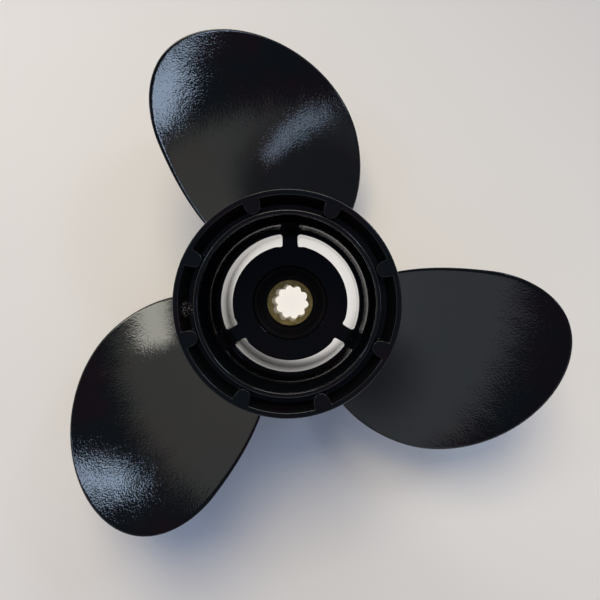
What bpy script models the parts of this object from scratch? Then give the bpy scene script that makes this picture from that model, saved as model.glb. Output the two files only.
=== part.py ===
"""Three-blade outboard propeller with a through-hub exhaust.

Frame: origin on the shaft axis in the plane of the hub's front rim, +Z towards the aft end.
The casting is split at its natural boundaries: barrel, flared ring, pads, inner hub, ribs and blades.
A rubber bush and a brass splined sleeve sit in the inner hub.
"""

import math

import bmesh
import bpy
from mathutils import Vector

MM = 0.001
GAP = 0.3 * MM  # between neighbouring solids

# Barrel: the outer tube that the blades stand on
HUB_LENGTH = 102 * MM
BARREL_R = 41.5 * MM
NECK_R = 38.3 * MM  # where the flared ring sits round the aft end
NECK_Z = 87.0 * MM
CREST_R = 37.1 * MM  # middle of the rounded aft lip
BORE_R = 35.9 * MM
LEDGE_Z = 70.0 * MM  # a small step down the bore
STEP_R = 35.3 * MM
STEP_FOOT_R = 34.8 * MM
THROAT_R = 32.6 * MM  # the narrowest part of the exhaust passages
THROAT_Z = 49.7 * MM
FRONT_BORE_R = 34.0 * MM
FRONT_SOCKET_R = 37.5 * MM  # takes the gearcase's aft rim
FRONT_SOCKET_Z = 5 * MM

# Flared ring and its pads
RING_R = 46.6 * MM
RING_MOUTH_R = 44.3 * MM  # outer wall of the groove, at the lip
RING_FLOOR_R = 41.0 * MM  # and at its floor
RING_FLOOR_Z = 93.0 * MM
FLARE_POWER = 1.2
PAD_COUNT = 8
PAD_WIDTH = 6.2 * MM
PAD_FIRST_DEG = 25.5  # clockwise from +Y, seen from aft

# Inner hub and exhaust ribs
HUB_R = 27.1 * MM
HUB_FLAT = 26.3 * MM  # from the axis to the flats under the ribs
HUB_FRONT_Z = 3 * MM
HUB_AFT_Z = 50 * MM
HUB_BORE_R = 17.4 * MM
RIB_THICKNESS = 7.1 * MM
RIB_FRONT_Z = 12 * MM

# Cushion bush and splined sleeve
BUSH_FRONT_Z = 4 * MM
BUSH_AFT_Z = 47.6 * MM
BUSH_DISH = 1.8 * MM
SLEEVE_R = 10.8 * MM
SLEEVE_FRONT_Z = 3 * MM
SLEEVE_AFT_Z = 48 * MM
SPLINE_TEETH = 10
SPLINE_MAJOR_R = 8.8 * MM
SPLINE_MINOR_R = 7.45 * MM
SPLINE_FIRST_DEG = -10  # a groove's place, clockwise from +Y

# Blades: each is a right-handed screw surface with a flat working face
BLADE_COUNT = 3
TIP_R = 125.7 * MM
PITCH = 280 * MM
RAKE = math.radians(8)
ROOT_MID_Z = 49 * MM  # height of the blade's reference line at the barrel
ROOT_SKEW = math.radians(-5)
TIP_SKEW = math.radians(-17)
SKEW_POWER = 2.0
WIDEST_R = 88 * MM
HALF_CHORD = 46.3 * MM
ROOT_TAPER = 78 * MM  # how slowly the chord narrows from its widest towards the barrel
TIP_CUT = 0.97  # the last row lies just inside the tip, where the chord is still a few millimetres
ROOT_THICKNESS = 8.0 * MM
TIP_THICKNESS = 2.4 * MM
EDGE_THICKNESS = 1.4 * MM

ROUND_STEPS = 72
BLADE_ROWS = 16
BLADE_COLUMNS = 16


def make_collection(name):
    collection = bpy.data.collections.new(name)
    bpy.context.scene.collection.children.link(collection)
    return collection


def make_material(name, colour, roughness, metallic):
    material = bpy.data.materials.new(name)
    material.use_nodes = True
    shader = material.node_tree.nodes["Principled BSDF"]
    shader.inputs["Base Color"].default_value = (*colour, 1.0)
    shader.inputs["Roughness"].default_value = roughness
    shader.inputs["Metallic"].default_value = metallic
    return material


def add_object(name, data, material, collection):
    obj = bpy.data.objects.new(name, data)
    data.materials.append(material)
    collection.objects.link(obj)
    return obj


def turned(name, profile, material, collection):
    """A ring turned from a closed (radius, height) outline that runs down its outer side."""
    mesh = bpy.data.meshes.new(name)
    points = [(radius, 0.0, height) for radius, height in profile]
    edges = [(i, (i + 1) % len(points)) for i in range(len(points))]
    mesh.from_pydata(points, edges, [])
    obj = add_object(name, mesh, material, collection)
    screw = obj.modifiers.new("turn", "SCREW")
    screw.axis = "Z"
    screw.steps = ROUND_STEPS
    screw.render_steps = ROUND_STEPS
    screw.use_merge_vertices = True
    screw.merge_threshold = 0.00001
    screw.use_smooth_shade = True
    return obj


def polar(radius, angle, z=0.0):
    """A point at an angle measured clockwise from +Y, as seen from aft."""
    return Vector((radius * math.sin(angle), radius * math.cos(angle), z))


def flat_outline(name, loops, bottom, top, material, collection):
    """A plate between two heights, cut to the outer loop of points and holed by the others."""
    curve = bpy.data.curves.new(name, "CURVE")
    curve.dimensions = "2D"
    curve.fill_mode = "BOTH"
    curve.extrude = (top - bottom) / 2
    for loop in loops:
        spline = curve.splines.new("POLY")
        spline.points.add(len(loop) - 1)
        for point, place in zip(spline.points, loop):
            point.co = (place.x, place.y, 0.0, 1.0)
        spline.use_cyclic_u = True
    obj = add_object(name, curve, material, collection)
    obj.location.z = (top + bottom) / 2
    return obj


def arc(radius, start, end, steps):
    return [polar(radius, start + (end - start) * i / steps) for i in range(steps + 1)]


def make_barrel(material, collection):
    lip = 1.3 * MM
    profile = [
        (CREST_R, HUB_LENGTH),
        (NECK_R - 0.4 * MM, HUB_LENGTH - 0.5 * MM),
        (NECK_R, HUB_LENGTH - lip),
        (NECK_R, NECK_Z),
        (BARREL_R, NECK_Z),
        (BARREL_R, 6 * MM),
        (BARREL_R - 1.2 * MM, 0.0),
        (FRONT_SOCKET_R, 0.0),
        (FRONT_SOCKET_R, FRONT_SOCKET_Z),
        (FRONT_BORE_R, FRONT_SOCKET_Z),
        (THROAT_R, THROAT_Z - 1.5 * MM),
        (THROAT_R + 0.3 * MM, THROAT_Z),
        (STEP_FOOT_R, THROAT_Z),
        (STEP_R, LEDGE_Z - 0.6 * MM),
        (BORE_R, LEDGE_Z),
        (BORE_R, HUB_LENGTH - lip),
        (BORE_R + 0.4 * MM, HUB_LENGTH - 0.5 * MM),
    ]
    return turned("outer_barrel", profile, material, collection)


def make_flared_ring(material, collection):
    bottom = NECK_Z + GAP
    shoulder = HUB_LENGTH - 1.2 * MM
    flare = []
    for t in (0.8, 0.6, 0.4, 0.2):
        flare.append((BARREL_R + (RING_R - BARREL_R) * t**FLARE_POWER, bottom + (shoulder - bottom) * t))
    profile = [
        (RING_MOUTH_R, HUB_LENGTH),
        (RING_R - 0.5 * MM, HUB_LENGTH),
        (RING_R, shoulder),
        *flare,
        (BARREL_R, bottom),
        (NECK_R + GAP, bottom),
        (NECK_R + GAP, RING_FLOOR_Z),
        (RING_FLOOR_R, RING_FLOOR_Z),
    ]
    return turned("flare_ring", profile, material, collection)


def make_pad(number, material, collection):
    """A D-shaped pad that fills the ring's tapering groove, with its round end inwards."""
    half = PAD_WIDTH / 2
    inner = NECK_R + GAP
    top = RING_MOUTH_R - GAP
    bottom = RING_FLOOR_R - GAP
    shoulder = inner + 1.8 * MM
    outline = [Vector((-half, top)), Vector((half, top))]
    for i in range(7):
        turn = math.pi * i / 6
        outline.append(Vector((half * math.cos(turn), shoulder - (shoulder - inner) * math.sin(turn))))
    solid = bmesh.new()
    ring = [solid.verts.new((point.x, point.y, HUB_LENGTH - 0.2 * MM)) for point in outline]
    cap = solid.faces.new(ring)
    walls = bmesh.ops.extrude_face_region(solid, geom=[cap], use_keep_orig=True)
    for part in walls["geom"]:
        if isinstance(part, bmesh.types.BMVert):
            part.co.y = min(part.co.y, bottom)
            part.co.z = RING_FLOOR_Z + GAP
    for corner in solid.verts:
        reach = top if corner.co.z > RING_FLOOR_Z + MM else bottom
        corner.co.y = min(corner.co.y, math.sqrt(reach**2 - corner.co.x**2))
    bmesh.ops.recalc_face_normals(solid, faces=solid.faces)
    mesh = bpy.data.meshes.new(f"flare_pad_{number}")
    solid.to_mesh(mesh)
    solid.free()
    pad = add_object(mesh.name, mesh, material, collection)
    pad.rotation_euler.z = -math.radians(PAD_FIRST_DEG) - 2 * math.pi * (number - 1) / PAD_COUNT
    return pad


def make_inner_hub(material, collection):
    half_flat = math.acos(HUB_FLAT / HUB_R)
    third = 2 * math.pi / BLADE_COUNT
    outline = []
    for i in range(BLADE_COUNT):
        outline += arc(HUB_R, i * third + half_flat, (i + 1) * third - half_flat, 18)
    bore = arc(HUB_BORE_R, 0.0, 2 * math.pi * 47 / 48, 47)
    return flat_outline("inner_hub", [outline, bore], HUB_FRONT_Z, HUB_AFT_Z, material, collection)


def make_rib(number, material, collection):
    """An exhaust rib from a flat of the inner hub out to the barrel's tapering wall."""
    mesh = bpy.data.meshes.new(f"exhaust_rib_{number}")
    solid = bmesh.new()
    bmesh.ops.create_cube(solid, size=1.0)
    half = RIB_THICKNESS / 2
    aft = THROAT_Z - 0.2 * MM
    for corner in solid.verts:
        z = aft if corner.co.z > 0 else RIB_FRONT_Z
        wall = THROAT_R + (FRONT_BORE_R - THROAT_R) * (THROAT_Z - z) / THROAT_Z
        outer = math.sqrt((wall - GAP) ** 2 - half**2)
        y = outer if corner.co.y > 0 else HUB_FLAT + GAP
        corner.co = Vector((math.copysign(half, corner.co.x), y, z))
    solid.to_mesh(mesh)
    solid.free()
    rib = add_object(mesh.name, mesh, material, collection)
    rib.rotation_euler.z = -2 * math.pi * (number - 1) / BLADE_COUNT
    return rib


def make_bush(material, collection):
    inner = SLEEVE_R + GAP
    outer = HUB_BORE_R - GAP
    edge = 0.5 * MM
    dish = BUSH_AFT_Z - BUSH_DISH
    profile = [
        (outer - edge, BUSH_AFT_Z),
        (outer, BUSH_AFT_Z - edge),
        (outer, BUSH_FRONT_Z + edge),
        (outer - edge, BUSH_FRONT_Z),
        (inner, BUSH_FRONT_Z),
        (inner, dish),
        (outer - BUSH_DISH, dish),
    ]
    return turned("rubber_bush", profile, material, collection)


def spline_radius(angle):
    """The bore's radius at an angle from a groove's middle: round grooves between blunt teeth."""
    middle = (SPLINE_MAJOR_R + SPLINE_MINOR_R) / 2
    depth = (SPLINE_MAJOR_R - SPLINE_MINOR_R) / 2
    wave = 1.6 * math.cos(SPLINE_TEETH * angle) + 0.5
    return middle + depth * max(-1.0, min(1.0, wave))


def make_sleeve(material, collection):
    outline = arc(SLEEVE_R, 0.0, 2 * math.pi * 59 / 60, 59)
    points = 8 * SPLINE_TEETH
    first = math.radians(SPLINE_FIRST_DEG)
    bore = []
    for i in range(points):
        angle = 2 * math.pi * i / points
        bore.append(polar(spline_radius(angle), first + angle))
    return flat_outline(
        "splined_sleeve", [outline, bore], SLEEVE_FRONT_Z, SLEEVE_AFT_Z, material, collection
    )


def half_chord(radius):
    if radius > WIDEST_R:
        out = (radius - WIDEST_R) / (TIP_R - WIDEST_R)
        return HALF_CHORD * math.sqrt(1 - out**2)
    return HALF_CHORD * (1 - ((WIDEST_R - radius) / ROOT_TAPER) ** 2)


def blade_point(span, across, back):
    """A point on a blade: span 0..1 from root to tip, across -1..1 from trailing to leading edge.

    The working face lies on the screw surface and looks aft. The back, ahead of it, is crowned.
    """
    root = BARREL_R + GAP
    radius = root + (TIP_R - root) * math.sin(TIP_CUT * span * math.pi / 2)
    out = (radius - root) / (TIP_R - root)
    skew = ROOT_SKEW + (TIP_SKEW - ROOT_SKEW) * out**SKEW_POWER
    angle = skew + across * half_chord(radius) / radius
    z = ROOT_MID_Z + (radius - BARREL_R) * math.tan(RAKE) - PITCH * angle / (2 * math.pi)
    if back:
        middle = ROOT_THICKNESS + (TIP_THICKNESS - ROOT_THICKNESS) * out
        thickness = EDGE_THICKNESS + (middle - EDGE_THICKNESS) * (1 - across**2)
        climb = math.atan2(PITCH, 2 * math.pi * radius)
        angle -= thickness * math.sin(climb) / radius
        z -= thickness * math.cos(climb)
    return polar(radius, angle, z)


def make_blade(number, material, collection):
    solid = bmesh.new()
    bmesh.ops.create_grid(solid, x_segments=BLADE_COLUMNS, y_segments=BLADE_ROWS, size=1.0)
    face = list(solid.verts)
    walls = bmesh.ops.extrude_face_region(solid, geom=list(solid.faces), use_keep_orig=True)
    back = [part for part in walls["geom"] if isinstance(part, bmesh.types.BMVert)]
    for vertices, is_back in ((face, False), (back, True)):
        for vertex in vertices:
            vertex.co = blade_point((vertex.co.y + 1) / 2, vertex.co.x, is_back)
    bmesh.ops.recalc_face_normals(solid, faces=solid.faces)
    mesh = bpy.data.meshes.new(f"blade_{number}")
    solid.to_mesh(mesh)
    solid.free()
    mesh.shade_smooth()
    mesh.set_sharp_from_angle(angle=math.radians(40))
    blade = add_object(mesh.name, mesh, material, collection)
    blade.rotation_euler.z = -2 * math.pi * (number - 1) / BLADE_COUNT
    return blade


def main():
    for old in list(bpy.data.objects):
        bpy.data.objects.remove(old)
    parts = make_collection("boat_propeller")
    paint = make_material("gloss_black_paint", (0.012, 0.013, 0.017), 0.22, 0.0)
    rubber = make_material("bush_rubber", (0.02, 0.02, 0.022), 0.6, 0.0)
    brass = make_material("sleeve_brass", (0.42, 0.36, 0.16), 0.38, 1.0)
    make_barrel(paint, parts)
    make_flared_ring(paint, parts)
    for number in range(1, PAD_COUNT + 1):
        make_pad(number, paint, parts)
    make_inner_hub(paint, parts)
    for number in range(1, BLADE_COUNT + 1):
        make_rib(number, paint, parts)
        make_blade(number, paint, parts)
    make_bush(rubber, parts)
    make_sleeve(brass, parts)


main()
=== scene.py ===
"""Three-blade outboard propeller with a through-hub exhaust, seen from aft.

The hub casting, its web of ribs, the blades, the rubber bush and the splined sleeve are built
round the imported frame. Lengths are in metres: the shaft axis is Z and aft is up.
"""

import math

import bmesh
import bpy
import numpy as np
from bpy.props import FloatProperty, FloatVectorProperty, IntProperty, PointerProperty
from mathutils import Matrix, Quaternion, Vector


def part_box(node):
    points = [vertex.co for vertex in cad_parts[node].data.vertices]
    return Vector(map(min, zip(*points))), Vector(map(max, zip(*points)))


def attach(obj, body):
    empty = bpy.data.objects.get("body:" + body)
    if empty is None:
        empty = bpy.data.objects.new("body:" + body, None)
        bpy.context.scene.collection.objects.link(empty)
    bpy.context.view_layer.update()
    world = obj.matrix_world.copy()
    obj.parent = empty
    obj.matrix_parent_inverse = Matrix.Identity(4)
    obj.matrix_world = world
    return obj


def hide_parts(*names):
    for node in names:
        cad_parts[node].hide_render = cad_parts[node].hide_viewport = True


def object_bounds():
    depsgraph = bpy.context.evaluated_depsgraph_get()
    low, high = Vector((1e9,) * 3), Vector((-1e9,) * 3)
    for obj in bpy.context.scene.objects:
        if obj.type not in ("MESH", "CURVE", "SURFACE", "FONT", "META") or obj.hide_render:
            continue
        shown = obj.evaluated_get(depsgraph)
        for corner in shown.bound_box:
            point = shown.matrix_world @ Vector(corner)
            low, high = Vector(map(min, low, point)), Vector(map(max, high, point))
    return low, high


bl_info = {
    "name": "Outboard propeller",
    "version": (1, 0, 0),
    "blender": (4, 5, 0),
    "location": "3D View > Sidebar > Propeller",
    "description": "Builds a three-blade outboard propeller with its rubber bush and splined sleeve",
    "category": "Add Mesh",
}

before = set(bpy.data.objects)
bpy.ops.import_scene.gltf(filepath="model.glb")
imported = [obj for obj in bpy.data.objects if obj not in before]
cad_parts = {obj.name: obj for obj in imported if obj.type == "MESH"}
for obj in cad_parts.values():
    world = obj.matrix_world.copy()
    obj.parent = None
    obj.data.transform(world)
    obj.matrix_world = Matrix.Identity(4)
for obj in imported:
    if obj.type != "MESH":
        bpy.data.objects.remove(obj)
CAD_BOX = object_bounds()

MM = 0.001
THIRD = 2 * math.pi / 3
HOLD = 0.15 * MM  # a flat face's extra edge loop lies this far from its eased corner


def radius_of(node):
    low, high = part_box(node)
    return (high.x - low.x) / 2


def bottom_of(node):
    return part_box(node)[0].z


def top_of(node):
    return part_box(node)[1].z


# Sizes and colours


class HubSizes(bpy.types.PropertyGroup):
    length: FloatProperty(
        name="Length", description="Hub length along the shaft", default=top_of("outer_barrel"),
        unit="LENGTH",
    )
    barrel: FloatProperty(
        name="Barrel", description="Outer radius of the barrel", default=radius_of("outer_barrel"),
        unit="LENGTH",
    )
    ring: FloatProperty(
        name="Ring", description="Outer radius of the flared ring", default=radius_of("flare_ring"),
        unit="LENGTH",
    )
    flare_start: FloatProperty(
        name="Flare start", description="Height where the flare begins", default=87 * MM, unit="LENGTH"
    )
    groove_floor: FloatProperty(
        name="Groove floor", description="Height of the groove's floor", default=93 * MM, unit="LENGTH"
    )
    groove_mouth: FloatProperty(
        name="Groove mouth", description="Radius of the groove's outer wall at the lip", default=44.3 * MM,
        unit="LENGTH",
    )
    groove_foot: FloatProperty(
        name="Groove foot", description="Radius of the groove's outer wall at its floor", default=41.2 * MM,
        unit="LENGTH",
    )
    neck: FloatProperty(
        name="Neck", description="Outer radius of the barrel's end inside the ring", default=38.3 * MM,
        unit="LENGTH",
    )
    pads: IntProperty(name="Pads", description="Number of pads in the groove", default=8, min=1)
    upper_bore: FloatProperty(
        name="Upper bore", description="Radius of the bore from the ledge to the aft lip", default=35.9 * MM,
        unit="LENGTH",
    )
    ledge: FloatProperty(
        name="Ledge", description="Height of the small step in the bore", default=70 * MM, unit="LENGTH"
    )
    lower_bore: FloatProperty(
        name="Lower bore", description="Radius of the bore just under the ledge", default=35.3 * MM,
        unit="LENGTH",
    )
    pad_end: FloatProperty(
        name="Pad end", description="Radius that the pads reach in to", default=38.6 * MM, unit="LENGTH"
    )
    first_pad: FloatProperty(
        name="First pad", description="Turn of the first pad, clockwise from +Y", default=math.radians(25.5),
        unit="ROTATION",
    )
    throat: FloatProperty(
        name="Throat", description="Outer radius of the exhaust passages, aft", default=32.6 * MM,
        unit="LENGTH",
    )
    throat_height: FloatProperty(
        name="Throat height", description="Height of the face round the passages", default=50 * MM,
        unit="LENGTH",
    )
    front_bore: FloatProperty(
        name="Front bore", description="Radius of the exhaust bore near the front rim", default=34 * MM,
        unit="LENGTH",
    )
    inner: FloatProperty(
        name="Inner hub", description="Outer radius of the inner hub", default=27.1 * MM, unit="LENGTH"
    )
    inner_flat: FloatProperty(
        name="Inner flats", description="Distance from the axis to the inner hub's flats", default=26.3 * MM,
        unit="LENGTH",
    )
    bore: FloatProperty(
        name="Bush bore", description="Radius of the bore that holds the bush", default=17.4 * MM,
        unit="LENGTH",
    )
    rib: FloatProperty(
        name="Ribs", description="Thickness of the exhaust ribs", default=7.1 * MM, unit="LENGTH"
    )


class BladeSizes(bpy.types.PropertyGroup):
    count: IntProperty(name="Count", description="Number of blades", default=3, min=1)
    tip: FloatProperty(name="Tip", description="Radius of the blade tips", default=125.7 * MM, unit="LENGTH")
    pitch: FloatProperty(name="Pitch", description="Advance in one turn", default=280 * MM, unit="LENGTH")
    rake: FloatProperty(name="Rake", description="Lean towards aft", default=math.radians(8), unit="ROTATION")
    middle: FloatProperty(
        name="Root height", description="Height of the blade's middle line at the barrel", default=49 * MM,
        unit="LENGTH",
    )
    root_skew: FloatProperty(
        name="Root skew", description="Turn of the middle line at the barrel", default=math.radians(-5),
        unit="ROTATION",
    )
    tip_skew: FloatProperty(
        name="Tip skew", description="Turn of the middle line at the tip", default=math.radians(-17),
        unit="ROTATION",
    )
    widest: FloatProperty(
        name="Widest at", description="Radius where the blade is widest", default=88 * MM, unit="LENGTH"
    )
    half_width: FloatProperty(
        name="Half width", description="Half of the blade's greatest width round its turn", default=46.3 * MM,
        unit="LENGTH",
    )
    taper: FloatProperty(
        name="Root taper", description="How slowly the blade narrows towards the barrel", default=78 * MM,
        unit="LENGTH",
    )
    root_thick: FloatProperty(
        name="Root thickness", description="Thickness at the barrel", default=8 * MM, unit="LENGTH"
    )
    tip_thick: FloatProperty(
        name="Tip thickness", description="Thickness near the tip", default=2.4 * MM, unit="LENGTH"
    )
    edge_thick: FloatProperty(
        name="Edge thickness", description="Thickness of the rounded edge", default=1.4 * MM, unit="LENGTH"
    )
    fillet: FloatProperty(
        name="Root fillet", description="Radius where the blade runs into the barrel", default=4 * MM,
        unit="LENGTH",
    )


class CoreSizes(bpy.types.PropertyGroup):
    sleeve: FloatProperty(
        name="Sleeve", description="Outer radius of the splined sleeve", default=10.8 * MM, unit="LENGTH"
    )
    teeth: IntProperty(name="Grooves", description="Number of spline grooves", default=10, min=3)
    major: FloatProperty(
        name="Groove radius", description="Radius at the bottom of a spline groove", default=8.8 * MM,
        unit="LENGTH",
    )
    minor: FloatProperty(
        name="Tooth radius", description="Radius at the tip of a spline tooth", default=7.45 * MM,
        unit="LENGTH",
    )
    first_groove: FloatProperty(
        name="First groove", description="Turn of the first groove, clockwise from +Y",
        default=math.radians(-10), unit="ROTATION",
    )
    dish: FloatProperty(
        name="Dish", description="Depth of the bush's dished end", default=1.8 * MM, unit="LENGTH"
    )


class Colours(bpy.types.PropertyGroup):
    enamel: FloatVectorProperty(
        name="Enamel", description="Black gloss enamel", subtype="COLOR", default=(0.0026, 0.0034, 0.0048)
    )
    rubber: FloatVectorProperty(
        name="Rubber", description="Rubber of the bush", subtype="COLOR", default=(0.005, 0.005, 0.007)
    )
    brass: FloatVectorProperty(
        name="Brass", description="Dull brass of the sleeve", subtype="COLOR", default=(0.50, 0.41, 0.19)
    )
    table: FloatVectorProperty(
        name="Table", description="Pale table top", subtype="COLOR", default=(0.86, 0.835, 0.82)
    )


# Shader maths


class Wire:
    """An output of a shader node. Arithmetic on it adds Math nodes."""

    def __init__(self, finish, socket):
        self.finish = finish
        self.socket = socket

    def maths(self, operation, *values):
        return self.finish.node("ShaderNodeMath", {"operation": operation}, dict(enumerate(values)))["Value"]

    def __add__(self, other):
        return self.maths("ADD", self, other)

    def __radd__(self, other):
        return self.maths("ADD", other, self)

    def __sub__(self, other):
        return self.maths("SUBTRACT", self, other)

    def __rsub__(self, other):
        return self.maths("SUBTRACT", other, self)

    def __mul__(self, other):
        return self.maths("MULTIPLY", self, other)

    def __rmul__(self, other):
        return self.maths("MULTIPLY", other, self)

    def __pow__(self, other):
        return self.maths("POWER", self, other)

    def ramp(self, start, end):
        """0 before start and 1 past end, or the other way round where end is the lower."""
        inputs = {"Value": self, "From Min": start, "From Max": end}
        return self.finish.node("ShaderNodeMapRange", {"interpolation_type": "SMOOTHSTEP"}, inputs)["Result"]


class Finish:
    """A node tree being filled in: a piece's material or the surroundings."""

    def __init__(self, tree):
        self.tree = tree

    def node(self, kind, settings=None, inputs=None):
        made = self.tree.nodes.new(kind)
        for name, value in (settings or {}).items():
            setattr(made, name, value)
        for name, value in (inputs or {}).items():
            if isinstance(name, int):
                socket = made.inputs[name]
            else:
                socket = next(s for s in made.inputs if s.enabled and s.name == name)
            if isinstance(value, Wire):
                self.tree.links.new(value.socket, socket)
            else:
                socket.default_value = value
        return {socket.name: Wire(self, socket) for socket in made.outputs if socket.enabled}

    def noise(self, place, size, detail=2.0, roughness=0.5):
        """Noise from 0 to 1 whose blots are about size across."""
        inputs = {"Vector": place, "Scale": 1 / size, "Detail": detail, "Roughness": roughness}
        return self.node("ShaderNodeTexNoise", {}, inputs)["Fac"]

    def mix(self, factor, first, second):
        inputs = {"Factor": factor, "A": first, "B": second}
        return self.node("ShaderNodeMix", {"data_type": "RGBA"}, inputs)["Result"]

    def bump(self, height, distance, under=None):
        inputs = {"Height": height, "Distance": distance, "Strength": 1.0}
        if under:
            inputs["Normal"] = under
        return self.node("ShaderNodeBump", {}, inputs)["Normal"]


def start_material(name):
    """A new material: its Finish, its shader's inputs and the place on the piece."""
    material = bpy.data.materials.new(name)
    material.use_nodes = True
    finish = Finish(material.node_tree)
    shader = material.node_tree.nodes["Principled BSDF"]
    place = finish.node("ShaderNodeTexCoord")["Object"]
    return material, finish, shader, place


def connect(finish, shader, **wires):
    for name, wire in wires.items():
        finish.tree.links.new(wire.socket, shader.inputs[name.replace("_", " ")])


FLAW = Vector((-41.0, -2.0, 96.0)) * MM  # a small rough place in the enamel, in the groove
BORE_CALM = 0.2  # the share of the enamel's unevenness that the bore has


def zone(radius, height, inside, above, below):
    """1 in a zone round the shaft axis. Each side fades in over a pair of radii or heights."""
    return radius.ramp(*inside) * height.ramp(*above) * height.ramp(*below)


def enamel_material(colour):
    """Black gloss enamel over a casting: orange peel, fine grain, a little dust and one rough spot.

    The bore's aft wall and the inner hub's wall in the passages got only a dry, matt coat.
    """
    material, finish, shader, place = start_material("black_enamel")
    deep = (*colour, 1.0)
    plum = (colour[0] * 1.8, colour[1] * 0.8, colour[2] * 0.9, 1.0)
    dusty = (0.16, 0.17, 0.18, 1.0)
    cloud = finish.noise(place, 22 * MM, 3.0)
    tint = finish.mix(cloud.ramp(0.42, 0.68), deep, plum)
    dust = finish.noise(place, 0.5 * MM, 1.0).ramp(0.80, 0.86)
    ends = {0: place, 1: FLAW}
    from_flaw = finish.node("ShaderNodeVectorMath", {"operation": "DISTANCE"}, ends)["Value"]
    flaw = from_flaw.ramp(4.2 * MM, 2.2 * MM) * finish.noise(place, 0.9 * MM, 2.0).ramp(0.50, 0.60)
    shader.inputs["IOR"].default_value = 1.5
    parts = finish.node("ShaderNodeSeparateXYZ", {}, {"Vector": place})
    radius = (parts["X"] ** 2 + parts["Y"] ** 2) ** 0.5
    # the bore's wall is calmer than the outside
    uneven = BORE_CALM + radius.ramp(37.0 * MM, 37.6 * MM) * (1 - BORE_CALM)
    grain = finish.noise(place, 0.8 * MM, 1.0, 0.6) * uneven
    peel = finish.noise(place, 3.5 * MM, 2.0) * uneven
    dent = finish.noise(place, 14 * MM, 1.0) * uneven
    bumps = finish.bump(grain, 0.042 * MM)
    bumps = finish.bump(peel, 0.018 * MM, bumps)
    bumps = finish.bump(dent, 0.12 * MM, bumps)
    connect(
        finish,
        shader,
        Base_Color=finish.mix(dust + flaw, tint, dusty),
        Roughness=0.05 + cloud * 0.04 + flaw * 0.3,
        Normal=bumps,
    )
    height = parts["Z"]
    passages = zone(
        radius, height,
        inside=(29 * MM, 28 * MM), above=(28.5 * MM, 30 * MM), below=(49.6 * MM, 49.3 * MM),
    )
    bore = zone(
        radius, height,
        inside=(37.4 * MM, 37 * MM), above=(70.5 * MM, 71.5 * MM), below=(101.1 * MM, 100 * MM),
    )
    dry = finish.node("ShaderNodeBsdfDiffuse", {}, {"Color": deep})["BSDF"]
    paint = Wire(finish, shader.outputs["BSDF"])
    both = finish.node("ShaderNodeMixShader", {}, {0: passages + bore, 1: paint, 2: dry})["Shader"]
    finish.tree.links.new(both.socket, finish.tree.nodes["Material Output"].inputs["Surface"])
    return material


def rubber_material(colour):
    """Moulded black rubber with a fine matt skin and a bloom of reddish dust."""
    material, finish, shader, place = start_material("bush_rubber")
    bloom = finish.noise(place, 6 * MM, 4.0)
    red = (colour[0] * 2.6, colour[1] * 1.5, colour[2] * 1.2, 1.0)
    skin = finish.noise(place, 0.5 * MM, 3.0)
    connect(
        finish,
        shader,
        Base_Color=finish.mix(bloom.ramp(0.4, 0.75), (*colour, 1.0), red),
        Roughness=0.42 + bloom * 0.25,
        Normal=finish.bump(skin, 0.03 * MM),
    )
    return material


def brass_material(colour):
    """Machined brass gone dull and olive, with dark pits."""
    material, finish, shader, place = start_material("sleeve_brass")
    tarnish = finish.noise(place, 2.2 * MM, 4.0, 0.6)
    pits = finish.noise(place, 0.7 * MM, 2.0).ramp(0.60, 0.72)
    olive = (colour[0] * 0.62, colour[1] * 0.66, colour[2] * 0.60, 1.0)
    dark = (colour[0] * 0.12, colour[1] * 0.11, colour[2] * 0.10, 1.0)
    worn = finish.mix(tarnish.ramp(0.36, 0.66), (*colour, 1.0), olive)
    connect(
        finish,
        shader,
        Base_Color=finish.mix(pits, worn, dark),
        Roughness=0.32 + tarnish * 0.25,
        Metallic=0.5 - pits * 0.3,
        Normal=finish.bump(tarnish, 0.05 * MM),
    )
    return material


def table_material(colour):
    """A pale matt table top, faintly uneven, with painted shade that darkens it towards one corner."""
    material, finish, shader, place = start_material("pale_table")
    broad = finish.noise(place, 0.35, 2.0)
    fine = finish.noise(place, 0.8 * MM, 2.0)
    cool = (colour[0] * 0.97, colour[1] * 0.985, colour[2] * 1.01, 1.0)
    parts = finish.node("ShaderNodeSeparateXYZ", {}, {"Vector": place})
    # painted shade: a falloff of light, painted as a darker tone that grows towards one corner
    corner = (parts["X"] * 0.7 + parts["Y"] * 1.3).ramp(-0.02, 0.50)
    shaded_tone = (colour[0] * 0.64, colour[1] * 0.66, colour[2] * 0.70, 1.0)
    shader.inputs["Roughness"].default_value = 0.6
    connect(
        finish,
        shader,
        Base_Color=finish.mix(corner, finish.mix(broad, (*colour, 1.0), cool), shaded_tone),
        Normal=finish.bump(fine, 0.01 * MM),
    )
    return material


# Shapes

ROUND_STEPS = 120  # round a turned piece


def polar(radius, angle, z=0.0):
    """A point at an angle clockwise from +Y, as seen from aft."""
    return Vector((radius * math.sin(angle), radius * math.cos(angle), z))


def smooth_step(t):
    t = min(max(t, 0.0), 1.0)
    return t * t * (3 - 2 * t)


def eased(corners, steps=5):
    """A closed outline from (radius, height, ease) corners, each turned over its ease on both sides."""
    outline = []
    count = len(corners)
    for i, (radius, height, ease) in enumerate(corners):
        corner = Vector((radius, height))
        if ease == 0:
            outline.append(corner)
            continue
        ends = []
        holds = []
        for other in (corners[i - 1], corners[(i + 1) % count]):
            run = Vector(other[:2]) - corner
            ends.append(corner + run.normalized() * ease)
            roomy = run.length - ease - other[2] > 3 * HOLD
            holds.append([corner + run.normalized() * (ease + HOLD)] if roomy else [])
        outline += holds[0]
        for step in range(steps + 1):
            t = step / steps
            outline.append(ends[0].lerp(corner, t).lerp(corner.lerp(ends[1], t), t))
        outline += holds[1]
    return outline


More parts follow.
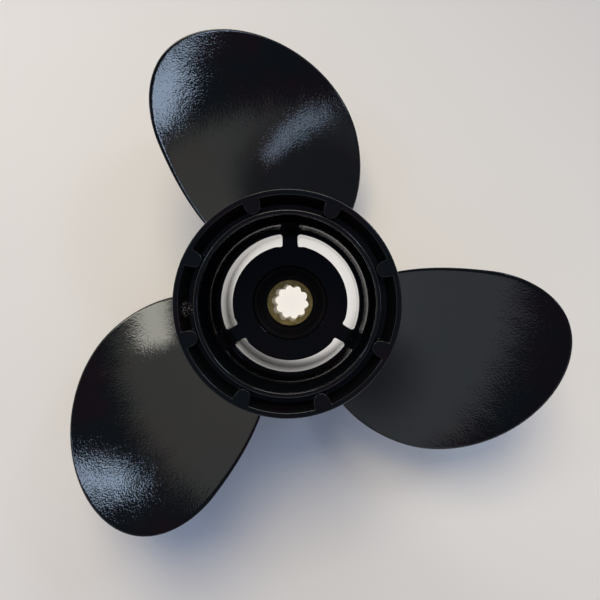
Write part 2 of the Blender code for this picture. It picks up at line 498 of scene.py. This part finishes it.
def wrapped_grid(solid, around, along, place, join=0.002 * MM):
    """A grid bent to place(i, j), for i up to around and j up to along, with its meeting edges joined."""
    grid = bmesh.ops.create_grid(solid, x_segments=around, y_segments=along, size=0.5)["verts"]
    for vertex in grid:
        i = round((vertex.co.x + 0.5) * around)
        j = round((vertex.co.y + 0.5) * along)
        vertex.co = place(i, j)
    bmesh.ops.remove_doubles(solid, verts=grid, dist=join)


def turned_ring(solid, line):
    """A ring turned round the shaft axis from a closed (radius, height) outline."""

    def place(i, j):
        point = line[j % len(line)]
        return polar(point.x, 2 * math.pi * i / ROUND_STEPS, point.y)

    wrapped_grid(solid, ROUND_STEPS, len(line), place)


def finish_piece(solid, name, material, body, replaced):
    """Makes the solid a smooth piece that rides on a body and stands for its CAD nodes."""
    bmesh.ops.dissolve_degenerate(solid, dist=0.0005 * MM, edges=solid.edges)
    bmesh.ops.recalc_face_normals(solid, faces=solid.faces)
    open_edges = [edge for edge in solid.edges if not edge.is_manifold]
    if open_edges:
        raise RuntimeError(f"{name} has {len(open_edges)} open edges")
    if solid.calc_volume(signed=True) < 0:
        bmesh.ops.reverse_faces(solid, faces=solid.faces)
    mesh = bpy.data.meshes.new(name)
    solid.to_mesh(mesh)
    solid.free()
    mesh.materials.append(material)
    mesh.shade_smooth()
    piece = bpy.data.objects.new(name, mesh)
    bpy.context.scene.collection.objects.link(piece)
    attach(piece, body)
    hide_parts(*replaced)


def enamel():
    """The enamel, made once for every piece of the casting."""
    made = bpy.data.materials.get("black_enamel")
    return made or enamel_material(bpy.context.scene.propeller_colours.enamel)


# The hub casting: barrel, flared ring and pads in one skin

PAD_STEPS = 24  # from a pad's middle to the middle of the gap beside it
PAD_EDGE = math.radians(4.6)
PAD_DRAFT = 0.35 * MM  # a pad's end leans back by this much down to the groove's floor
PAD_POWER = 2.8  # 2 would round a pad's end as an ellipse, more makes it squarer
FLARE_STEPS = 12  # up the flare
FLARE_POWER = 1.2  # 1 would make the flare a cone, more makes it a bell
BORE_STEPS = 8  # along the bore's wall, above the ledge and again below it
BORE_BOWL = 0.25 * MM  # the bore widens by this much from its ledge up to its mouth
BOWL_POWER = 1.5
THROAT_LEAN = 1.15 * MM  # and narrows by this much from the ledge down towards the passages
THROAT_POWER = 1.35
SOCKET_R = 37.5 * MM  # the front rim's counterbore, which takes the gearcase's edge
SOCKET_DEPTH = 5 * MM


def pad_angle(sizes, i):
    """The turn of the i-th line round the casting: the lines crowd on the pads' flanks."""
    sector = 2 * math.pi / sizes.pads
    turn, step = divmod(i, 2 * PAD_STEPS)
    side = 1 if step < PAD_STEPS else -1
    nearness = step if side > 0 else 2 * PAD_STEPS - step
    lines = (0, 5, 12, 16, 17, PAD_STEPS)
    angles = (0.0, PAD_EDGE * 0.6, PAD_EDGE * 0.93, PAD_EDGE, PAD_EDGE * 1.08, sector / 2)
    offset = float(np.interp(nearness, lines, angles))
    centre = sizes.first_pad + (turn if side > 0 else turn + 1) * sector
    return centre + side * offset, offset


def casting_outline(sizes):
    """The casting's section from the front rim up its outside and back down its bore.

    Each place on it is (radius, height, padded), and padded is True where the pads bulge it inwards.
    """
    top = sizes.length
    base = bottom_of("outer_barrel")
    rise = top - 1.2 * MM - sizes.flare_start
    flare = []
    for step in range(1, FLARE_STEPS):
        t = step / FLARE_STEPS
        spread = t**FLARE_POWER * smooth_step(t * 4) ** 0.5
        radius = sizes.barrel + (sizes.ring - sizes.barrel) * spread
        flare.append((radius, sizes.flare_start + rise * t, 0))
    lip = sizes.groove_mouth + 1.15 * MM
    outside = [
        (sizes.barrel - 0.2 * MM, base, 0.8 * MM),
        (sizes.barrel, base + SOCKET_DEPTH, 0),
        (sizes.barrel, sizes.flare_start, 0),
        *flare,
        (sizes.ring, top - 1.0 * MM, 0),
        (sizes.ring - 0.15 * MM, top, 0.5 * MM),
        (lip, top, 0),
    ]
    groove = [
        (sizes.groove_mouth, top, 0.45 * MM),
        (sizes.groove_foot, sizes.groove_floor, 0.1 * MM),
    ]
    bowl = []
    for step in range(1, BORE_STEPS + 1):
        t = 1 - step / (BORE_STEPS + 1)
        radius = sizes.upper_bore + BORE_BOWL * (1 - (1 - t) ** BOWL_POWER)
        bowl.append((radius, sizes.ledge + (top - sizes.ledge) * t, 0))
    start = sizes.ledge - 0.6 * MM
    end = sizes.throat_height + 4 * MM
    throat = []
    for step in range(1, BORE_STEPS + 1):
        t = step / BORE_STEPS
        throat.append((sizes.lower_bore - THROAT_LEAN * t**THROAT_POWER, start + (end - start) * t, 0))
    foot = sizes.lower_bore - THROAT_LEAN - 0.4 * MM
    front = sizes.front_bore + 0.3 * MM
    inside = [
        (sizes.neck, sizes.groove_floor, 0.05 * MM),
        (sizes.neck, top - 1.2 * MM, 0),
        (sizes.neck, top, 0.95 * MM),
        (sizes.upper_bore + BORE_BOWL, top, 0.95 * MM),
        *bowl,
        (sizes.upper_bore, sizes.ledge, 0.15 * MM),
        (sizes.lower_bore, start, 0.5 * MM),
        *throat,
        (foot, sizes.throat_height, 0.4 * MM),
        (foot - 0.2 * MM, sizes.throat_height - 0.5 * MM, 0),
        (front, bottom_of("exhaust_rib_1"), 0),
        (front, base + SOCKET_DEPTH, 0.5 * MM),
        (SOCKET_R, base + SOCKET_DEPTH, 0.3 * MM),
        (SOCKET_R, base, 0.5 * MM),
    ]
    line = []
    past_lip = False
    for point in eased(outside + groove + inside):
        past_lip = past_lip or (point - Vector((lip, top))).length < HOLD / 10
        in_groove = point.y > sizes.groove_floor - HOLD
        at_wall = sizes.groove_foot - 0.3 * MM < point.x < lip - HOLD
        line.append((point.x, point.y, past_lip and in_groove and at_wall))
    return line


def casting_point(sizes, line, i, j):
    """A point of the casting's skin, pushed inwards where a pad stands on the groove's outer wall."""
    angle, offset = pad_angle(sizes, i)
    radius, height, padded = line[j % len(line)]
    if padded:
        depth = (sizes.length - height) / (sizes.length - sizes.groove_floor)
        wall = sizes.groove_mouth + (sizes.groove_foot - sizes.groove_mouth) * depth
        into_metal = radius - wall
        reach = min(1.0, offset / (PAD_EDGE - into_metal / radius))
        pad = (1 - reach**PAD_POWER) ** (1 / PAD_POWER)
        end = sizes.pad_end + PAD_DRAFT * depth + into_metal
        radius += (end - radius) * pad
    return polar(radius, angle, height)


class PROPELLER_OT_casting(bpy.types.Operator):
    """Builds the barrel with its flared ring and pads"""

    bl_idname = "propeller.casting"
    bl_label = "Hub casting"

    def execute(self, context):
        sizes = context.scene.propeller_hub
        line = casting_outline(sizes)
        solid = bmesh.new()
        around = sizes.pads * 2 * PAD_STEPS
        wrapped_grid(solid, around, len(line), lambda i, j: casting_point(sizes, line, i, j))
        pads = [f"flare_pad_{number}" for number in range(1, sizes.pads + 1)]
        finish_piece(
            solid, "hub_casting", enamel(), "propeller",
            ["outer_barrel", "flare_ring", *pads],
        )
        return {"FINISHED"}


# The web: inner hub and exhaust ribs, with three passages between them

ARC_STEPS = 18  # along half of a passage's outer or inner wall
OUTER_CORNER_STEPS = 8  # round its corners at the barrel
INNER_CORNER_STEPS = 6  # and at the inner hub
WALL_STEPS = 8  # down a passage's or a bore's wall


def passage_side(sizes, outer, grow):
    """Half of a passage's outline, from its middle at a sixth of a turn to its middle on the hub.

    A rib stands along +Y. The outline is moved out into the metal by grow.
    """
    half = sizes.rib / 2
    ease_out = 1.5 * MM
    ease_in = 1.0 * MM
    centre = Vector((half + ease_out, math.sqrt((outer - ease_out) ** 2 - (half + ease_out) ** 2)))
    lean = math.atan2(centre.x, centre.y)
    inner = Vector((half + ease_in, sizes.inner_flat + ease_in))
    flat_end = math.acos(sizes.inner_flat / sizes.inner)
    points = []
    for step in range(ARC_STEPS):
        points.append(polar(outer + grow, THIRD / 2 + (lean - THIRD / 2) * step / ARC_STEPS))
    for step in range(OUTER_CORNER_STEPS + 1):
        turn = lean - (lean + math.pi / 2) * step / OUTER_CORNER_STEPS
        points.append(Vector((*centre, 0)) + polar(ease_out + grow, turn))
    for step in range(INNER_CORNER_STEPS + 1):
        turn = -math.pi / 2 - math.pi / 2 * step / INNER_CORNER_STEPS
        points.append(Vector((*inner, 0)) + polar(ease_in + grow, turn))
    for step in range(ARC_STEPS + 1):
        turn = flat_end + (THIRD / 2 - flat_end) * step / ARC_STEPS
        points.append(polar(sizes.inner - grow, turn))
    return points


def passage_ring(sizes, number, outer, grow, height):
    """A passage's whole outline at a height: one side and its mirror image, turned to its place."""
    side = passage_side(sizes, outer, grow)
    mirrored = []
    for point in reversed(side[1:-1]):
        angle = math.atan2(point.x, point.y)
        mirrored.append(polar(point.length, THIRD - angle))
    ring = []
    for point in side + mirrored:
        angle = math.atan2(point.x, point.y)
        ring.append(polar(point.length, angle + THIRD * number, height))
    return ring


def edge_levels(bottom, top, ease, steps=5):
    """(height, growth) down a wall whose two ends are rounded over, with a holding line on each face.

    Growth is how far the wall has moved out into the metal there.
    """
    levels = [(top, ease + HOLD)]
    for step in range(steps + 1):
        turn = math.pi / 2 * step / steps
        levels.append((top - ease * (1 - math.cos(turn)), ease * (1 - math.sin(turn))))
    for step in range(1, WALL_STEPS):
        levels.append((top - ease + (bottom - top + 2 * ease) * step / WALL_STEPS, 0.0))
    for step in range(steps + 1):
        turn = math.pi / 2 * (1 - step / steps)
        levels.append((bottom + ease * (1 - math.cos(turn)), ease * (1 - math.sin(turn))))
    levels.append((bottom, ease + HOLD))
    return levels


class PROPELLER_OT_web(bpy.types.Operator):
    """Builds the inner hub and its exhaust ribs"""

    bl_idname = "propeller.web"
    bl_label = "Inner hub and ribs"

    def execute(self, context):
        sizes = context.scene.propeller_hub
        top = sizes.throat_height
        bottom = bottom_of("exhaust_rib_1")
        solid = bmesh.new()
        levels = edge_levels(bottom, top, 0.5 * MM)
        spread = (sizes.front_bore - sizes.throat) / top  # the passages widen towards the front
        for number in range(3):
            rings = []
            for height, grow in levels:
                outer = sizes.throat + spread * (top - height)
                rings.append(passage_ring(sizes, number, outer, grow, height))
            count = len(rings[0])
            wrapped_grid(solid, count, len(rings) - 1, lambda i, j: rings[j][i % count])
        # the rim ends inside the barrel's wall, so no gap shows between them
        rim = [(top, sizes.lower_bore - 0.3 * MM), (bottom, sizes.front_bore + 0.6 * MM)]
        bore = [(height, sizes.bore + grow) for height, grow in levels]
        for wall in (rim, bore):
            wrapped_grid(
                solid, ROUND_STEPS, len(wall) - 1,
                lambda i, j: polar(wall[j][1], 2 * math.pi * i / ROUND_STEPS, wall[j][0]),
            )
        for height, facing in ((top, 1), (bottom, -1)):
            edges = [
                edge for edge in solid.edges
                if edge.is_boundary and abs(edge.verts[0].co.z - height) < HOLD / 2
            ]
            bmesh.ops.triangle_fill(
                solid, use_beauty=True, use_dissolve=False, edges=edges, normal=(0, 0, facing)
            )
        front = bottom_of("inner_hub")
        overlap = bottom + 1 * MM
        nose = [
            (sizes.inner, overlap, 0),
            (sizes.bore, overlap, 0),
            (sizes.bore, front, 0.6 * MM),
            (sizes.inner, front, 0.6 * MM),
        ]
        turned_ring(solid, eased(nose))
        finish_piece(
            solid, "hub_web", enamel(), "propeller",
            ["inner_hub", "exhaust_rib_1", "exhaust_rib_2", "exhaust_rib_3"],
        )
        return {"FINISHED"}


# Blades

BLADE_COLUMNS = 72  # across one side of a blade
BLADE_ROWS = 84
SUNK_ROWS = 2  # of those, the rows inside the barrel's wall
ROOT_ROWS = 12  # and the rows up to the top of the root fillet
EDGE_ROUND = 0.9  # the edge is rounded over this share of its thickness


def half_chord(sizes, radius):
    if radius > sizes.widest:
        out = (radius - sizes.widest) / (sizes.tip - sizes.widest)
        return sizes.half_width * math.sqrt(max(0.0, 1 - out**2))
    return sizes.half_width * (1 - ((sizes.widest - radius) / sizes.taper) ** 2)


def edge_distance(sizes, radius, across):
    """How far a place on the blade is from the blade's outline."""
    chord = half_chord(sizes, radius)
    if radius <= sizes.widest:
        return (1 - abs(across)) * chord
    reach = sizes.tip - sizes.widest
    x = (radius - sizes.widest) / reach
    y = across * chord / sizes.half_width
    out = math.hypot(x, y)
    slope = math.hypot(x / reach, y / sizes.half_width) / out
    return (1 - out) / slope


def blade_row_radius(sizes, barrel, row):
    """The rows run from inside the barrel's wall, through the fillet and out to the tip."""
    if row < SUNK_ROWS:
        return barrel - (1.6 - 0.6 * row) * MM
    if row < ROOT_ROWS:
        turn = math.pi / 2 * (row - SUNK_ROWS) / (ROOT_ROWS - SUNK_ROWS)
        return barrel + sizes.fillet * (1 - math.cos(turn))
    t = (row - ROOT_ROWS) / (BLADE_ROWS - ROOT_ROWS)
    start = barrel + sizes.fillet
    return start + (sizes.tip - start) * math.sin(math.pi / 2 * t)


def blade_row(sizes, barrel, row):
    """A blade section at one radius, as a closed ring of (radius, angle, height) places.

    It runs along one side of the blade and back along the other, which carries the crown.
    """
    radius = blade_row_radius(sizes, barrel, row)
    out = max(0.0, (radius - barrel) / (sizes.tip - barrel))
    skew = sizes.root_skew + (sizes.tip_skew - sizes.root_skew) * out**2
    lift = sizes.middle + (radius - barrel) * math.tan(sizes.rake)
    chord = half_chord(sizes, radius)
    climb = math.atan2(sizes.pitch, 2 * math.pi * radius)
    thick = sizes.root_thick + (sizes.tip_thick - sizes.root_thick) * out
    edge = sizes.edge_thick
    points = []
    for i in range(2 * BLADE_COLUMNS):
        on_back = i >= BLADE_COLUMNS
        u = 2 * (i % BLADE_COLUMNS) / BLADE_COLUMNS - 1
        across = math.sin(math.pi / 2 * u) * (-1 if on_back else 1)
        near = min(max(edge_distance(sizes, radius, across) / (edge * EDGE_ROUND), 0.0), 1.0)
        nose = math.sqrt(1 - (1 - near) ** 2)
        crown = edge + (thick - edge) * (1 - across**2)
        offset = edge / 2 + (crown - edge / 2) * nose if on_back else edge / 2 * (1 - nose)
        if row == 0:
            offset = crown / 2  # the first row closes to a line
        angle = skew + across * chord / radius
        along = radius * angle - offset * math.sin(climb)
        height = lift - sizes.pitch * angle / (2 * math.pi) - offset * math.cos(climb)
        points.append(Vector((along, height)))
    above = max(0.0, radius - barrel)
    if row > 0 and above < sizes.fillet:
        swell = sizes.fillet - math.sqrt(sizes.fillet**2 - (sizes.fillet - above) ** 2)
        grown = []
        for i, point in enumerate(points):
            run = (points[(i + 1) % len(points)] - points[i - 1]).normalized()
            grown.append(point + Vector((-run.y, run.x)) * swell)
        points = grown
    return [(radius, point.x / radius, point.y) for point in points]


class PROPELLER_OT_blades(bpy.types.Operator):
    """Builds the blades and their root fillets"""

    bl_idname = "propeller.blades"
    bl_label = "Blades"

    def execute(self, context):
        sizes = context.scene.propeller_blades
        barrel = context.scene.propeller_hub.barrel
        rows = [blade_row(sizes, barrel, row) for row in range(BLADE_ROWS + 1)]
        count = 2 * BLADE_COLUMNS
        for number in range(1, sizes.count + 1):
            turn = 2 * math.pi * (number - 1) / sizes.count
            solid = bmesh.new()

            def place(i, j):
                radius, angle, height = rows[j][i % count]
                return polar(radius, angle + turn, height)

            wrapped_grid(solid, count, BLADE_ROWS, place, join=0.01 * MM)
            finish_piece(
                solid, f"blade_skin_{number}", enamel(), "propeller", [f"blade_{number}"]
            )
        return {"FINISHED"}


# The bush and the sleeve

BUSH_FIT = 0.02 * MM  # between the bush and the metal on either side of it
GROOVE_STEPS = 16  # round one groove of the sleeve
GROOVE_BLUNT = 0.02  # blunts the teeth between the grooves
GROOVE_POWER = 0.36  # a lower one makes the grooves wider and the teeth narrower


class PROPELLER_OT_bush(bpy.types.Operator):
    """Builds the rubber bush with its dished, ridged end"""

    bl_idname = "propeller.bush"
    bl_label = "Rubber bush"

    def execute(self, context):
        core = context.scene.propeller_core
        hub = context.scene.propeller_hub
        top = top_of("rubber_bush")
        bottom = bottom_of("rubber_bush")
        floor = top - core.dish
        shelf = floor + 0.6 * MM
        ridge = 0.45 * MM
        outer = hub.bore - BUSH_FIT
        inner = core.sleeve + BUSH_FIT
        profile = [
            (outer, bottom, 0.5 * MM),
            (outer, top, 0.6 * MM),
            (hub.bore - 1.9 * MM, top, 0.5 * MM),
            (14.8 * MM, shelf, 0.3 * MM),
            (14.4 * MM, shelf, 0.1 * MM),
            (14.3 * MM, shelf + ridge, 0.12 * MM),
            (14.0 * MM, shelf + ridge, 0.12 * MM),
            (13.9 * MM, floor, 0.1 * MM),
            (13.5 * MM, floor, 0.1 * MM),
            (13.4 * MM, floor + ridge, 0.12 * MM),
            (13.1 * MM, floor + ridge, 0.12 * MM),
            (12.9 * MM, floor, 0.1 * MM),
            (inner, floor, 0.2 * MM),
            (inner, bottom, 0.3 * MM),
        ]
        solid = bmesh.new()
        turned_ring(solid, eased(profile, 3))
        finish_piece(
            solid, "cushion_bush", rubber_material(context.scene.propeller_colours.rubber), "propeller",
            ["rubber_bush"],
        )
        return {"FINISHED"}


def spline_radius(core, angle):
    """The sleeve's bore: round grooves that meet in blunt teeth."""
    lobe = (math.cos(core.teeth / 2 * angle) ** 2 + GROOVE_BLUNT) ** GROOVE_POWER
    low = GROOVE_BLUNT**GROOVE_POWER
    high = (1 + GROOVE_BLUNT) ** GROOVE_POWER
    return core.minor + (core.major - core.minor) * (lobe - low) / (high - low)


class PROPELLER_OT_sleeve(bpy.types.Operator):
    """Builds the splined brass sleeve"""

    bl_idname = "propeller.sleeve"
    bl_label = "Splined sleeve"

    def execute(self, context):
        core = context.scene.propeller_core
        top = top_of("splined_sleeve")
        bottom = bottom_of("splined_sleeve")
        ease = 0.35 * MM
        rod = eased([(0, bottom, 0), (core.sleeve, bottom, ease), (core.sleeve, top, ease), (0, top, 0)])
        outside = [(point.x, point.y, 0.0) for point in rod if point.x > core.major + 2 * ease]
        # a place in the bore has no radius yet, since that depends on the turn
        bore = [(None, height, grow) for height, grow in edge_levels(bottom, top, ease)]
        line = outside + bore
        around = GROOVE_STEPS * core.teeth
        solid = bmesh.new()

        def place(i, j):
            radius, height, grow = line[j % len(line)]
            angle = 2 * math.pi * i / around
            if radius is None:
                radius = spline_radius(core, angle) + grow
            return polar(radius, core.first_groove + angle, height)

        wrapped_grid(solid, around, len(line), place)
        finish_piece(
            solid, "spline_sleeve", brass_material(context.scene.propeller_colours.brass), "sleeve",
            ["splined_sleeve"],
        )
        return {"FINISHED"}


# The stage


class StageSettings(bpy.types.PropertyGroup):
    key: FloatProperty(name="Key", description="Radiance of the soft key light", default=8.7, min=0)
    window: FloatProperty(name="Window", description="Radiance of the low window", default=6.3, min=0)
    sky: FloatProperty(name="Sky lights", description="Radiance of the bluish lights", default=9.0, min=0)
    fill: FloatProperty(name="Fill", description="Radiance of the bluish fill", default=0.32, min=0)
    walls: FloatProperty(name="Walls", description="Radiance of the walls in the gloss", default=0.7, min=0)


def direction(azimuth, elevation):
    """A unit direction from an azimuth clockwise from +Y and an elevation, in degrees."""
    return polar(math.cos(math.radians(elevation)), math.radians(azimuth), math.sin(math.radians(elevation)))


def add_panel_light(name, aim, radiance, colour, azimuth, elevation, distance, size, roll=0):
    """A flat light of an even radiance that faces the aim point. Roll turns it about its own aim."""
    width, height = size
    data = bpy.data.lights.new(name, "AREA")
    data.shape = "RECTANGLE"
    data.size = width
    data.size_y = height
    data.energy = radiance * math.pi * width * height
    data.color = colour
    light = bpy.data.objects.new(name, data)
    place = aim + direction(azimuth, elevation) * distance
    light.location = place
    turned = (place - aim).to_track_quat("Z", "Y") @ Quaternion((0, 0, 1), math.radians(roll))
    light.rotation_euler = turned.to_euler()
    bpy.context.scene.collection.objects.link(light)
    return light


def add_surroundings(settings):
    """The room: a bluish fill for matt surfaces, walls and a dark ceiling for gloss, a pale backdrop."""
    world = bpy.data.worlds.new("room")
    world.use_nodes = True
    bpy.context.scene.world = world
    finish = Finish(world.node_tree)
    way = finish.node("ShaderNodeTexCoord")["Generated"]
    parts = finish.node("ShaderNodeSeparateXYZ", {}, {"Vector": way})
    rays = finish.node("ShaderNodeLightPath")
    # the walls reach up to a soft edge, and are dimmer at the right and in the near left corner
    wall = (parts["Z"] + parts["Y"] * 0.05).ramp(0.66, 0.60)
    side = (parts["X"] - parts["Y"] * 0.25).ramp(0.88, 0.70)
    shaded = (parts["X"] + parts["Y"]).ramp(-1.15, -1.42)
    brightness = wall * (0.16 + 0.84 * side) * (1 - 0.75 * shaded)
    strength = settings.walls
    greenish = (1.02 * strength, 1.02 * strength, 0.92 * strength, 1.0)
    bluish = (0.88 * strength, 0.96 * strength, 1.06 * strength, 1.0)
    walls = finish.mix(parts["Y"].ramp(-0.4, 0.6), bluish, greenish)
    middle = (0.035, 0.045, 0.070, 1.0)
    zenith = (0.036, 0.050, 0.082, 1.0)
    ceiling = finish.mix(parts["Z"].ramp(0.85, 0.98), middle, zenith)
    gloss = finish.mix(brightness, ceiling, walls)
    fill = (0.60 * settings.fill, 0.74 * settings.fill, 1.08 * settings.fill, 1.0)
    backdrop = (0.66, 0.65, 0.64, 1.0)
    seen = finish.mix(rays["Is Glossy Ray"], backdrop, gloss)
    seen = finish.mix(rays["Is Diffuse Ray"], seen, fill)
    background = world.node_tree.nodes["Background"]
    finish.tree.links.new(seen.socket, background.inputs["Color"])


class PROPELLER_OT_stage(bpy.types.Operator):
    """Sets the table, the lights, the room and the camera"""

    bl_idname = "propeller.stage"
    bl_label = "Stage"

    def execute(self, context):
        settings = context.scene.propeller_stage
        table_level = CAD_BOX[0][2] - 0.1 * MM
        table = bmesh.new()
        bmesh.ops.create_grid(table, x_segments=1, y_segments=1, size=3.0)
        bmesh.ops.translate(table, verts=table.verts, vec=(0, 0, table_level))
        mesh = bpy.data.meshes.new("table_top")
        table.to_mesh(mesh)
        table.free()
        mesh.materials.append(table_material(context.scene.propeller_colours.table))
        floor = bpy.data.objects.new("table_top", mesh)
        context.scene.collection.objects.link(floor)

        hub = Vector((0, 0, 60 * MM))
        warm = (1.0, 0.84, 0.56)
        pale = (1.0, 0.98, 0.86)
        cool = (0.62, 0.79, 1.04)
        key = add_panel_light(
            "key", hub, settings.key, warm, azimuth=-9, elevation=60, distance=2.4, size=(1.15, 1.15)
        )
        key.visible_glossy = False
        add_panel_light(
            "window", hub, settings.window, pale, azimuth=0, elevation=24, distance=1.6, size=(1.1, 0.36)
        )
        outer_blade = Vector((-50 * MM, 100 * MM, 80 * MM))
        add_panel_light(
            "right_sky", outer_blade, settings.sky, cool, azimuth=53, elevation=47, distance=1.2,
            size=(0.20, 0.20),
        )
        mid_blade = Vector((5 * MM, 80 * MM, 53 * MM))
        add_panel_light(
            "streak_sky", mid_blade, settings.sky * 0.42, cool, azimuth=91, elevation=33, distance=1.2,
            size=(0.075, 0.42), roll=46,
        )
        left_blade = Vector((-84 * MM, -78 * MM, 68 * MM))
        add_panel_light(
            "left_sky", left_blade, settings.sky * 1.05, cool, azimuth=-52, elevation=48, distance=1.2,
            size=(0.12, 0.14),
        )
        # a disc inside the hub that faces down: the daylight that reaches the table through the passages
        under_table = Vector((2.0 * MM, 2.8 * MM, -1))
        under_hub = add_panel_light(
            "under_hub", under_table, 0.73, (1, 0.98, 0.94), azimuth=0, elevation=90, distance=1.0026,
            size=(0.0685, 0.0675),
        )
        under_hub.data.shape = "ELLIPSE"
        add_surroundings(settings)

        data = bpy.data.cameras.new("camera")
        data.sensor_width = 36
        data.lens = 46.8
        camera = bpy.data.objects.new("camera", data)
        camera.location = (8.5 * MM, 3.2 * MM, 417 * MM)
        camera.rotation_euler = (-0.0051, 0.0103, 0)
        context.scene.collection.objects.link(camera)
        context.scene.camera = camera
        context.scene.view_settings.view_transform = "Standard"
        return {"FINISHED"}


# The add-on

OPERATORS = (
    PROPELLER_OT_casting,
    PROPELLER_OT_web,
    PROPELLER_OT_blades,
    PROPELLER_OT_bush,
    PROPELLER_OT_sleeve,
    PROPELLER_OT_stage,
)

SETTINGS = {
    "propeller_hub": HubSizes,
    "propeller_blades": BladeSizes,
    "propeller_core": CoreSizes,
    "propeller_colours": Colours,
    "propeller_stage": StageSettings,
}


class PROPELLER_PT_builder(bpy.types.Panel):
    """Lists the pieces and their settings"""

    bl_idname = "PROPELLER_PT_builder"
    bl_label = "Propeller"
    bl_space_type = "VIEW_3D"
    bl_region_type = "UI"
    bl_category = "Propeller"

    def draw(self, context):
        for operator in OPERATORS:
            self.layout.operator(operator.bl_idname)
        for name, group in SETTINGS.items():
            box = self.layout.box()
            settings = getattr(context.scene, name)
            for prop in group.__annotations__:
                box.prop(settings, prop)


def register():
    for name, group in SETTINGS.items():
        bpy.utils.register_class(group)
        setattr(bpy.types.Scene, name, PointerProperty(type=group))
    for operator in OPERATORS:
        bpy.utils.register_class(operator)
    bpy.utils.register_class(PROPELLER_PT_builder)


def unregister():
    bpy.utils.unregister_class(PROPELLER_PT_builder)
    for operator in reversed(OPERATORS):
        bpy.utils.unregister_class(operator)
    for name, group in reversed(SETTINGS.items()):
        delattr(bpy.types.Scene, name)
        bpy.utils.unregister_class(group)


def main():
    register()
    bpy.ops.propeller.casting()
    bpy.ops.propeller.web()
    bpy.ops.propeller.blades()
    bpy.ops.propeller.bush()
    bpy.ops.propeller.sleeve()
    bpy.ops.propeller.stage()


if __name__ == "__main__":
    main()
